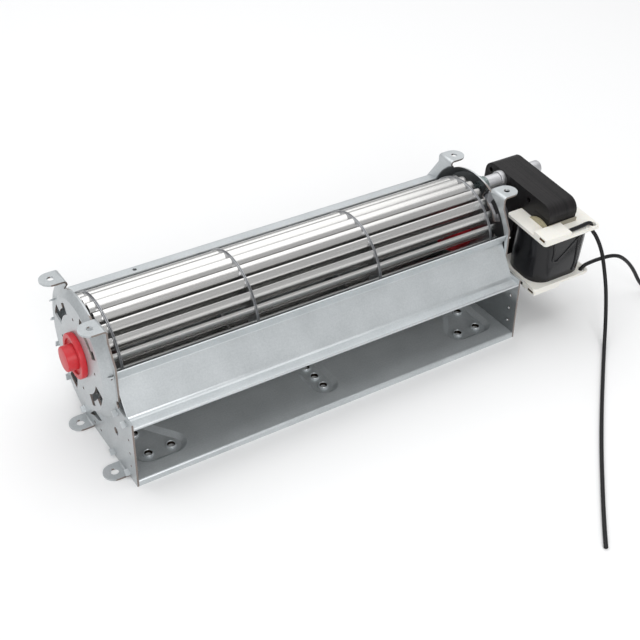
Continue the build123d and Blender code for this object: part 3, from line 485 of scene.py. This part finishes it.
# %% Dress the nodes
finishes = {
    "galvanised": galvanised,
    "blade_aluminium": blade_strip,
    "disc_steel": disc_steel,
    "bright_steel": ground_steel,
    "red_silicone": red_silicone,
    "bearing_bronze": sintered_bronze,
    "black_laminations": lacquer,
    "rotor_steel": rotor_steel,
    "die_cast": die_cast_zinc,
    "zinc_plated": zinc_plating,
    "former_nylon": former_nylon,
    "coil_tape": coil_tape,
    "terminal_brass": terminal_brass,
    "lead_sleeve": lead_sleeve,
}
for part in frame["record"]["subparts"]:
    node = nodes[part["node"]]
    if not node.material_slots:
        node.data.materials.append(None)
    node.material_slots[0].link = "OBJECT"
    node.material_slots[0].material = finishes[part["material_slot"]]
nodes["bearing_end_plate"].material_slots[0].material = punched_plate_painted_shade
nodes["motor_end_plate"].material_slots[0].material = motor_plate_painted_shade
for lead in (lead_a, lead_b):
    lead.data.materials.append(lead_sleeve)


def soften_edges(name, width):
    """Round the sharp edges of a CAD node by a width in mm, without a change to its mesh."""
    weld = nodes[name].modifiers.new("weld", "WELD")
    weld.merge_threshold = 0.00001
    bevel = nodes[name].modifiers.new("soften", "BEVEL")
    bevel.width = width * MM
    bevel.segments = 2
    bevel.limit_method = "ANGLE"
    bevel.angle_limit = math.radians(35)
    bevel.use_clamp_overlap = True
    bevel.harden_normals = True


edge_widths = {
    "tongue_sheet": 0.2,
    "scroll_sheet": 0.2,
    "bearing_end_plate": 0.18,
    "motor_end_plate": 0.18,
    "coil_former": 0.15,
    "front_bracket": 0.35,
    "rear_bracket": 0.35,
}
for name, width in edge_widths.items():
    soften_edges(name, width)

# %% [markdown]
# ## Helpers for new pieces
# Every new piece is worked out in millimetres about a handy origin, either the impeller's
# axis or the tilted motor, and then placed by one matrix, so that its object stays at the
# scene's origin. A round piece is an outline that is spun about X.

# %% Finish a piece
impeller_place = Matrix.Translation((0, axis_y, axis_z))
motor_place = impeller_place @ Matrix.Rotation(motor_tilt, 4, "X")
world_place = Matrix()
quarter_turn = math.pi / 2
full_turn = 2 * math.pi


def make_piece(name, builder, slot, place, body="housing", finish=None, smooth=32):
    """Turn a bmesh in mm into a finished object in metres that rides on a body."""
    bmesh.ops.transform(builder, matrix=Matrix.Scale(MM, 4) @ place, verts=builder.verts)
    bmesh.ops.recalc_face_normals(builder, faces=builder.faces)
    mesh = bpy.data.meshes.new(name)
    builder.to_mesh(mesh)
    builder.free()
    mesh.shade_smooth()
    mesh.set_sharp_from_angle(angle=math.radians(smooth))
    mesh.materials.append(finish or finishes[slot])
    piece = bpy.data.objects.new(name, mesh)
    bpy.context.scene.collection.objects.link(piece)
    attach(piece, body)
    print(name, "has", len(mesh.polygons), "faces")
    return piece


# %% [markdown]
# A mesh operator gives back faces, edges and vertices in one list, so two helpers pick
# them out. Two more round corners and edges, and the last two spin rings.

# %% Mesh helpers
def verts_in(geometry):
    """The vertices among what an operator gave back."""
    return [item for item in geometry if isinstance(item, bmesh.types.BMVert)]


def edges_in(geometry):
    """The edges among what an operator gave back."""
    return [item for item in geometry if isinstance(item, bmesh.types.BMEdge)]


def circle_edges(circle):
    """The edges of a new circle, each one once and in order."""
    return list(dict.fromkeys(edge for vert in circle["verts"] for edge in vert.link_edges))


def round_corners(builder, corners, radius, segments):
    """Round some corners of a flat face."""
    return bmesh.ops.bevel(
        builder,
        geom=corners,
        offset=radius,
        offset_type="OFFSET",
        segments=segments,
        profile=0.5,
        affect="VERTICES",
        material=-1,
    )


def round_edges(builder, edges, radius, segments):
    """Round some edges of a solid."""
    bmesh.ops.bevel(
        builder,
        geom=edges,
        offset=radius,
        segments=segments,
        profile=0.5,
        affect="EDGES",
        material=-1,
    )


def spin_ring(builder, outline, round_r=0.0, steps=64):
    """Spin a closed outline of (x, radius) places about X, with its corners rounded."""
    corners = [builder.verts.new((x, 0, radius)) for x, radius in outline]
    face = builder.faces.new(corners)
    if round_r:
        off_axis = [vert for vert in corners if vert.co.z > 0.01]
        round_corners(builder, off_axis, round_r, 3)
        face = builder.faces[:][-1]
    rim = list(face.edges)
    ends = list(face.verts)
    bmesh.ops.delete(builder, geom=[face], context="FACES_ONLY")
    bmesh.ops.spin(
        builder,
        geom=ends + rim,
        cent=(0, 0, 0),
        axis=(1, 0, 0),
        angle=full_turn,
        steps=steps,
        use_merge=True,
    )
    bmesh.ops.remove_doubles(builder, verts=builder.verts, dist=0.0001)


def tube_ring(builder, centre, ring_r, tube_r):
    """A ring of round section about an upright axis."""
    standing = Matrix.Rotation(quarter_turn, 4, "X")
    circle = bmesh.ops.create_circle(builder, segments=10, radius=tube_r, matrix=standing)
    start = Vector(centre) + Vector((ring_r, 0, 0))
    bmesh.ops.translate(builder, vec=start, verts=circle["verts"])
    bmesh.ops.spin(
        builder,
        geom=circle["verts"] + circle_edges(circle),
        cent=centre,
        axis=(0, 0, 1),
        angle=full_turn,
        steps=28,
        use_merge=True,
    )


print("helpers ready")

# %% [markdown]
# ## The impeller blades
# Each blade is a strip of bright aluminium, half a millimetre thick, rolled to an arc that
# meets the wheel's rim almost flat, so that the blades overlap like louvres. An edge that
# is spun about the centre of the arc gives its section, an extrude its length, and a
# second spin the ring of twenty-four.

# %% Make the blades
blade_count = 24
blade_t = 0.5
blade_root = Vector((0, 22.2, 0))
blade_arc_centre = Vector((0, 23.15, -5.5))
blade_sweep = 113
blade_length = 237.5
blade_start = 119.0 - blade_length
blade_edge_r = 0.18
builder = bmesh.new()
radial = (blade_root - blade_arc_centre).normalized()
section = [builder.verts.new(blade_root + radial * side * blade_t / 2) for side in (-1, 1)]
section.append(builder.edges.new(section))
bmesh.ops.spin(
    builder,
    geom=section,
    cent=blade_arc_centre,
    axis=(1, 0, 0),
    angle=-math.radians(blade_sweep),
    steps=14,
)
extruded = bmesh.ops.extrude_face_region(builder, geom=builder.faces[:])
bmesh.ops.translate(builder, vec=(blade_length, 0, 0), verts=verts_in(extruded["geom"]))
bmesh.ops.translate(builder, vec=(blade_start, 0, 0), verts=builder.verts)
bmesh.ops.recalc_face_normals(builder, faces=builder.faces)
half_length = blade_length / 2
sharp = 1.0
long_edges = [edge for edge in builder.edges if edge.calc_length() > half_length]
tip_edges = [edge for edge in long_edges if edge.calc_face_angle() > sharp]
round_edges(builder, tip_edges, blade_edge_r, 2)
tip_r = max(math.hypot(vert.co.y, vert.co.z) for vert in builder.verts)
bmesh.ops.spin(
    builder,
    geom=builder.verts[:] + builder.edges[:] + builder.faces[:],
    cent=(0, 0, 0),
    axis=(1, 0, 0),
    angle=full_turn * (blade_count - 1) / blade_count,
    steps=blade_count - 1,
    use_duplicate=True,
)
blades = make_piece("rolled_blades", builder, "blade_aluminium", impeller_place, body="impeller")
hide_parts("impeller_blades")
print("blade tips at", round(tip_r, 2), "mm")

# %% [markdown]
# ## The wheel's discs
# Four discs hold the blades: two rings in the middle and a disc at each end. Each is two
# thin layers of plated steel side by side, which shows as a fine groove round the rim.
# The outline of one half is mirrored for the other, and the blades run through the disc.

# %% Make the discs
disc_r = 30.0
groove_depth = 0.5
disc_places = {
    "end_disc_bearing": (-114.05, 5.0),
    "ring_disc_1": (-37.85, 19.5),
    "ring_disc_2": (38.35, 19.5),
    "end_disc_motor": (114.55, 10.0),
}
for node_name, (x, bore_r) in disc_places.items():
    half = [(0.8, bore_r), (0.8, disc_r - 0.25), (0.55, disc_r), (0.3, disc_r)]
    left = [(x - reach, radius) for reach, radius in half]
    right = [(x + reach, radius) for reach, radius in reversed(half)]
    builder = bmesh.new()
    spin_ring(builder, left + [(x, disc_r - groove_depth)] + right, steps=96)
    name = "plated_" + node_name
    disc = make_piece(name, builder, "disc_steel", impeller_place, body="impeller")
    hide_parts(node_name)

# %% [markdown]
# ## The red bearing mount
# The mount is moulded silicone: a round boss with a blind end, a groove and a thick
# flange on the outside of the plate, and a lip that snaps in behind it. Its outline is
# spun about the axis, with soft corners as a mould leaves them.

# %% Make the mount
boss = [(-133.5, 0.0), (-133.5, 6.8), (-127.4, 6.8)]
flange = [(-127.4, 9.6), (-128.7, 9.6), (-128.7, 12.3), (-125.5, 12.3)]
neck = [(-125.5, 9.45), (-124.5, 9.45)]
lip = [(-124.5, 11.5), (-122.5, 11.5)]
blind_bore = [(-122.5, 5.02), (-131.5, 5.02), (-131.5, 0.0)]
builder = bmesh.new()
spin_ring(builder, boss + flange + neck + lip + blind_bore, round_r=0.45)
mount = make_piece("silicone_mount", builder, "red_silicone", impeller_place, smooth=50)
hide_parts("bearing_mount")

# %% [markdown]
# ## Collars of the outlet floor
# Each hole in the floor's pads has a pressed collar. Its lip is rolled round and shines,
# and its inner wall is bare steel where the punch tore through. The wall is drawn very
# dark, which is partly bare steel and partly painted shade inside the hole. The lip is a
# spun circle, and the wall an extruded circle that gets a thickness.

# %% Make the collars
pad_holes = [(0, -1.0), (0, -10.25), (0, -19.5)]
for side in (-1, 1):
    pad_holes += [(side * 106.5, -2.0), (side * 106.5, -19.5), (side * 93.5, -19.5)]
collar_top = 2.3
lip_ring_r, lip_tube_r = 2.5, 0.36
wall_r = 2.08
wall_foot = 0.6
builder = bmesh.new()
for x, y in pad_holes:
    tube_ring(builder, (x, y, collar_top - 0.02), lip_ring_r, lip_tube_r)
make_piece("collar_lips", builder, "galvanised", world_place)
builder = bmesh.new()
for x, y in pad_holes:
    foot = Matrix.Translation((x, y, wall_foot))
    circle = bmesh.ops.create_circle(builder, segments=28, radius=wall_r, matrix=foot)
    wall = bmesh.ops.extrude_edge_only(builder, edges=circle_edges(circle))
    raised = verts_in(wall["geom"])
    bmesh.ops.translate(builder, vec=(0, 0, collar_top - wall_foot), verts=raised)
bmesh.ops.recalc_face_normals(builder, faces=builder.faces)
bmesh.ops.solidify(builder, geom=builder.faces[:], thickness=0.12)
# the dark walls are partly bare steel and partly painted shade inside the holes
make_piece("collar_walls", builder, "galvanised", world_place, finish=torn_steel_painted_shade)

# %% [markdown]
# ## Bumps of the outlet's walls
# Three small bumps on each end plate stand out into the outlet. A flattened sphere of
# brighter zinc on each paints the highlight that their tips catch.

# %% Make the bump tips
bump_x = 119.65
bump_y = axis_y - 45.2
bump_heights = (9.6, 18.2, 26.9)
tip_radius = 0.9
flattened = Matrix.Diagonal((0.6, 1, 1, 1))
builder = bmesh.new()
for side in (-1, 1):
    for z in bump_heights:
        place = Matrix.Translation((side * bump_x, bump_y, z)) @ flattened
        bmesh.ops.create_uvsphere(
            builder, u_segments=16, v_segments=8, radius=tip_radius, matrix=place
        )
# painted highlight: brighter zinc on each bump tip
make_piece("bump_tips", builder, "galvanised", world_place, finish=painted_highlight_zinc)

# %% [markdown]
# ## Nuts and washers
# A hexagon nut starts as a turned ring with chamfered rims. Six cuts across it leave the
# flats, and the curved line where each flat meets the chamfer comes by itself.

# %% Make the nuts and washers
post_reach = 25.4
washer_x = 125.5
nut_x = 126.3
nut_end = nut_x + 3.0
nut_half_width = 4.0
nut_corner_r, nut_face_r, nut_chamfer = 4.6, 3.9, 0.45
thread_r = 2.05
washer_hole_r, washer_r = 2.15, 5.4
nut_outline = [
    (nut_x, thread_r),
    (nut_x, nut_face_r),
    (nut_x + nut_chamfer, nut_corner_r),
    (nut_end - nut_chamfer, nut_corner_r),
    (nut_end, nut_face_r),
    (nut_end, thread_r),
]
washer_outline = [
    (washer_x, washer_hole_r),
    (washer_x, washer_r),
    (nut_x, washer_r),
    (nut_x, washer_hole_r),
]
for side, word in ((1, "upper"), (-1, "lower")):
    builder = bmesh.new()
    spin_ring(builder, nut_outline, steps=48)
    for flat in range(6):
        turn = math.radians(60 * flat + 30)
        outwards = Vector((0, math.cos(turn), math.sin(turn)))
        cut = bmesh.ops.bisect_plane(
            builder,
            geom=builder.verts[:] + builder.edges[:] + builder.faces[:],
            dist=0.0001,
            plane_co=outwards * nut_half_width,
            plane_no=outwards,
            clear_outer=True,
        )
        bmesh.ops.edgeloop_fill(builder, edges=edges_in(cut["geom_cut"]))
    place = motor_place @ Matrix.Translation((0, 0, side * post_reach))
    nut = make_piece("hex_nut_" + word, builder, "zinc_plated", place)
    builder = bmesh.new()
    spin_ring(builder, washer_outline, round_r=0.15, steps=48)
    washer = make_piece("washer_" + word, builder, "zinc_plated", place)
    if side == 1:
        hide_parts("screw_nuts")
        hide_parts("screw_washers")

# %% [markdown]
# ## The lamination stack
# Forty sheets of electrical steel make the stack, each with a round bore, screw and rivet
# holes. The leg under the coil is punched apart from them and let into both arms, which
# leaves a fine joint across the front. The flat outline with its holes is filled by
# triangle_fill, extruded to the sheet's thickness and repeated along X.

# %% Punch a pile of sheets
stack_start = 141.5
sheet_pitch = 0.5
sheet_thickness = 0.46
sheet_count = 40


def punched_sheets(builder, outline, rounded, round_r, holes):
    """A pile of sheets of that (u, v) outline, with some corners rounded and round holes."""
    corners = [builder.verts.new((stack_start, u, v)) for u, v in outline]
    face = builder.faces.new(corners)
    if rounded:
        round_corners(builder, [corners[index] for index in rounded], round_r, 8)
        face = builder.faces[:][-1]
    rim = list(face.edges)
    bmesh.ops.delete(builder, geom=[face], context="FACES_ONLY")
    facing_x = Matrix.Rotation(quarter_turn, 4, "Y")
    for u, v, radius in holes:
        place = Matrix.Translation((stack_start, u, v)) @ facing_x
        segments = 16 if radius < 5 else 48
        circle = bmesh.ops.create_circle(
            builder, segments=segments, radius=radius, matrix=place
        )
        rim += circle_edges(circle)
    bmesh.ops.triangle_fill(builder, edges=rim, use_beauty=True, normal=(1, 0, 0))
    thick = bmesh.ops.extrude_face_region(builder, geom=builder.faces[:])
    bmesh.ops.translate(builder, vec=(sheet_thickness, 0, 0), verts=verts_in(thick["geom"]))
    sheet = builder.verts[:] + builder.edges[:] + builder.faces[:]
    for count in range(1, sheet_count):
        copy = bmesh.ops.duplicate(builder, geom=sheet)
        shift = (count * sheet_pitch, 0, 0)
        bmesh.ops.translate(builder, vec=shift, verts=verts_in(copy["geom"]))


print("a stack is", sheet_count * sheet_pitch, "mm thick")

# %% [markdown]
# The yoke's upper half is written down and mirrored, since the stack is the same above
# and below the shaft. Its four outer corners are the ones that are rounded.

# %% Make the laminations
upper_half = [
    (14.7, 30.5),
    (-44.2, 30.5),
    (-44.2, 22.4),
    (-31.4, 22.4),
    (-31.4, 17.4),
    (-16.9, 17.4),
]
yoke_outline = upper_half + [(u, -v) for u, v in reversed(upper_half)]
outer_corners = (0, 1, 10, 11)
outer_corner_r = 7.0
stator_bore = (0, 0, 13.3)
screw_holes = [(0, post_reach, 2.2), (0, -post_reach, 2.2)]
rivets = [(u, v, 1.5) for v in (25.6, -25.6) for u in (9.9, -24.8)]
holes = [stator_bore, *screw_holes, *rivets]
builder = bmesh.new()
punched_sheets(builder, yoke_outline, outer_corners, outer_corner_r, holes)
yoke = make_piece("lamination_yoke", builder, "black_laminations", motor_place)
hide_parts("stator_core")
leg_outline = [(-31.5, 22.1), (-44.0, 22.1), (-44.0, -22.1), (-31.5, -22.1)]
builder = bmesh.new()
punched_sheets(builder, leg_outline, (), 0, [])
leg = make_piece("lamination_leg", builder, "black_laminations", motor_place)
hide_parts("coil_leg")

# %% [markdown]
# ## The coil
# The winding is wrapped in black film tape, and swells a little at half height. A flat
# oblong whose corners are bevelled wide gives the ring, extruded upwards in steps, and
# bridge_loops closes it round the leg's hole.

# %% Make the winding
coil_x, coil_u = 151.5, -37.8
coil_half_x, coil_half_u = 19.3, 14.9
coil_half_v = 15.35
coil_corner_r = 11.0
hole_half_x, hole_half_u = 12.0, 8.4
levels = 12


def coil_swell(height):
    """The coil's width at a height, as a share of its width at the middle."""
    return 1.0 - 0.02 * (abs(height) / coil_half_v) ** 4


def oblong_loop(builder, half_x, half_u, corner_r, height):
    """Edges of an oblong with round corners, level at a height of the coil."""
    signs = ((1, 1), (-1, 1), (-1, -1), (1, -1))
    places = [(coil_x + a * half_x, coil_u + b * half_u, height) for a, b in signs]
    corners = [builder.verts.new(place) for place in places]
    builder.faces.new(corners)
    rounded = round_corners(builder, corners, corner_r, 14)
    touching = {face for vert in rounded["verts"] for face in vert.link_faces}
    face = max(touching, key=lambda candidate: candidate.calc_area())
    rim = list(face.edges)
    bmesh.ops.delete(builder, geom=[face], context="FACES_ONLY")
    return rim


builder = bmesh.new()
outer_low = oblong_loop(builder, coil_half_x, coil_half_u, coil_corner_r, -coil_half_v)
ring = outer_low
for _ in range(levels):
    grown = bmesh.ops.extrude_edge_only(builder, edges=ring)
    ring = edges_in(grown["geom"])
    rise = (0, 0, 2 * coil_half_v / levels)
    bmesh.ops.translate(builder, vec=rise, verts=verts_in(grown["geom"]))
for vert in builder.verts:
    swell = coil_swell(vert.co.z)
    vert.co.x = coil_x + (vert.co.x - coil_x) * swell
    vert.co.y = coil_u + (vert.co.y - coil_u) * swell
inner_low = oblong_loop(builder, hole_half_x, hole_half_u, 1.0, -coil_half_v)
inner_high = oblong_loop(builder, hole_half_x, hole_half_u, 1.0, coil_half_v)
bmesh.ops.bridge_loops(builder, edges=outer_low + inner_low)
bmesh.ops.bridge_loops(builder, edges=ring + inner_high)
bmesh.ops.bridge_loops(builder, edges=inner_low + inner_high)
winding = make_piece("taped_winding", builder, "coil_tape", motor_place)
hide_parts("coil_winding")

# %% [markdown]
# ## Wires under the tape
# Two wires press through the tape on the coil's front. Each place of their routes is a
# distance along the front from its middle, which goes on round the corners, and a height.

# %% Lay the wires
def tape_place(along, height, out=0.1):
    """Place in mm on the tape's front, in the motor's frame, for a distance to the right."""
    swell = coil_swell(height)
    straight = coil_half_x - coil_corner_r
    if abs(along) <= straight:
        return (coil_x + along, coil_u - coil_half_u * swell - out, height)
    turn = (abs(along) - straight) / coil_corner_r
    reach = coil_corner_r + out
    x = coil_x + math.copysign(straight + reach * math.sin(turn), along) * swell
    u = coil_u - (coil_half_u - coil_corner_r + reach * math.cos(turn)) * swell
    return (x, u, height)


wire_r = 0.65
under_tape = {
    "wire_under_tape_slanted": [
        (8.6, 14.9),
        (6.9, 10.9),
        (3.6, 8.0),
        (-0.3, 4.0),
        (-4.2, 0.2),
        (-6.4, -1.2),
        (-9.6, -0.4),
        (-9.3, 5.5),
        (-10.6, 10.8),
        (-11.0, 14.9),
    ],
    "wire_under_tape_upright": [
        (8.4, 14.9),
        (7.4, 10.7),
        (8.2, 4.7),
        (8.9, -3.0),
        (9.4, -8.4),
        (8.4, -12.4),
    ],
}
for name, turns in under_tape.items():
    route = [motor_place @ Vector(tape_place(*turn)) for turn in turns]
    wire = draw_cord(name, route, wire_r)
    wire.data.materials.append(coil_tape)
    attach(wire, "housing")
print("laid", len(under_tape), "wires under the tape")

# %% [markdown]
# ## Details of the former
# Where a lead dives through the former's flange, the moulding has a raised rim round the
# hole, and a small eyelet beside it takes the coil's own wire. Both are small rounded
# rings. A strip of insulation paper stands between the leg and the upper flange.

# %% Make the former's details
flange_level = 17.2
lead_hole = (hole_x, -52.0, 2.1, 0.5)
eyelet = (163.4, -53.2, 0.55, 0.3)
builder = bmesh.new()
for side in (1, -1):
    for x, u, opening_r, rim_r in (lead_hole, eyelet):
        tube_ring(builder, (x, u, side * flange_level), opening_r + rim_r, rim_r)
make_piece("former_rims", builder, "former_nylon", motor_place)
paper_size = (21.4, 0.3, 3.4)
paper_centre = (coil_x, -44.6, 18.4)
paper_corner_r = 0.8
builder = bmesh.new()
paper = bmesh.ops.create_cube(builder, size=1.0)
bmesh.ops.scale(builder, vec=paper_size, verts=paper["verts"])
bmesh.ops.translate(builder, vec=paper_centre, verts=paper["verts"])
through = [edge for edge in builder.edges if abs(edge.verts[0].co.y - edge.verts[1].co.y) > 0.2]
round_edges(builder, through, paper_corner_r, 3)
make_piece("insulation_paper_strip", builder, "former_nylon", motor_place, finish=slot_paper)

# %% [markdown]
# ## Studio
# The photograph is lit like a catalogue picture: a white room with one large soft light
# from above and a weaker one from the front left. A metal shows what it reflects, so the
# white room is what makes the blades bright. The view transform is set to Standard, so
# that a hex colour comes out as it was written and the pale floor turns white.

# %% Floor and lights
floor_half = 3.0
floor_mesh = bpy.data.meshes.new("floor")
builder = bmesh.new()
bmesh.ops.create_grid(builder, x_segments=1, y_segments=1, size=floor_half)
builder.to_mesh(floor_mesh)
builder.free()
floor = bpy.data.objects.new("floor", floor_mesh)
bpy.context.scene.collection.objects.link(floor)
floor_paint = start_finish("pale_floor")
shader_of(floor_paint).inputs["Base Color"].default_value = srgb("#f6f6f6")
shader_of(floor_paint).inputs["Roughness"].default_value = 0.9
floor.data.materials.append(floor_paint)


def soft_light(name, place, size, power):
    """A large square light that looks at the middle of the fan."""
    lamp = bpy.data.lights.new(name, "AREA")
    lamp.size = size
    lamp.energy = power
    light = bpy.data.objects.new(name, lamp)
    direction = Vector((0, 0, 0.05)) - Vector(place)
    turned = direction.to_track_quat("-Z", "Y").to_matrix().to_4x4()
    light.matrix_world = Matrix.Translation(place) @ turned
    bpy.context.scene.collection.objects.link(light)


soft_light("top_light", (0.0, 0.3, 1.2), 1.8, 12.8)
soft_light("front_light", (-0.35, -1.2, 0.7), 0.6, 6)
room = bpy.data.worlds.new("white_room")
room.use_nodes = True
room.node_tree.nodes["Background"].inputs["Color"].default_value = srgb("#fbfcfd")
room.node_tree.nodes["Background"].inputs["Strength"].default_value = 0.54
bpy.context.scene.world = room
bpy.context.scene.view_settings.view_transform = "Standard"
print("studio set")
